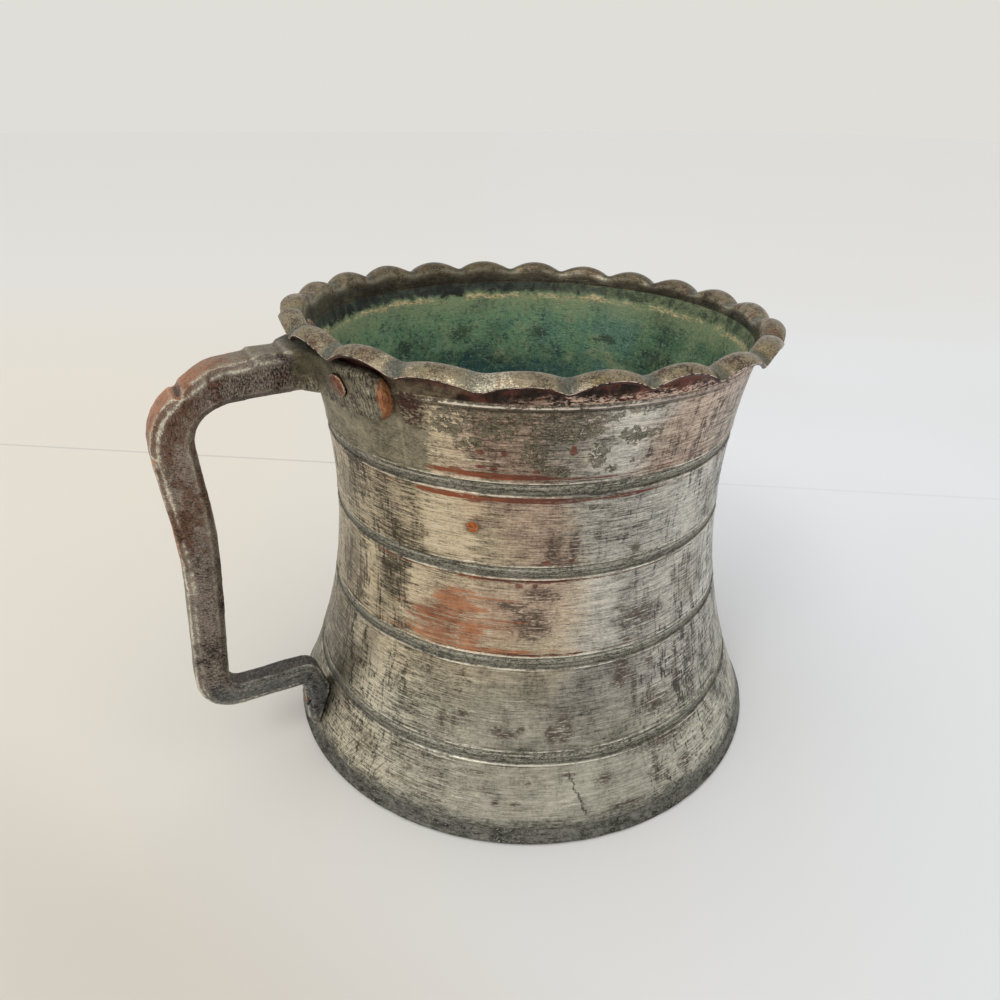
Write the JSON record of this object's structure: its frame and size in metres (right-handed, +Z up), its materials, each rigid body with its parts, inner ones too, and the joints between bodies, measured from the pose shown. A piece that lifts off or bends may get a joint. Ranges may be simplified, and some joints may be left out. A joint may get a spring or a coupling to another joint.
{
  "type": "tankard",
  "caption": "Waisted round drinking tankard of tinned copper with turned bands, a flared petalled rim and a forged loop handle riveted at its saddle and its foot.",
  "frame": {"origin": "on the wall's axis, in the plane that the base stands on", "axes": "+Z up along the wall's axis, -X out through the middle of the handle, +Y to the side of rivet_far"},
  "size_m": [0.1753, 0.1466, 0.1268],
  "materials": {
    "tinned_copper": "worn grey tin over copper, brushed round, with bare copper patches outside and green verdigris inside",
    "base_copper": "dull dark tin, worn through at the edge",
    "forged_copper": "tinned forging, cross-hatched and dark, with bare copper on the outer edges",
    "rivet_copper": "peened copper, brown with dark crevices"
  },
  "bodies": {
    "root": {"body": "tinned_copper", "base": "base_copper", "handle": "forged_copper", "rivet_near": "rivet_copper", "rivet_far": "rivet_copper", "rivet_lower": "rivet_copper"}
  },
  "joints": []
}
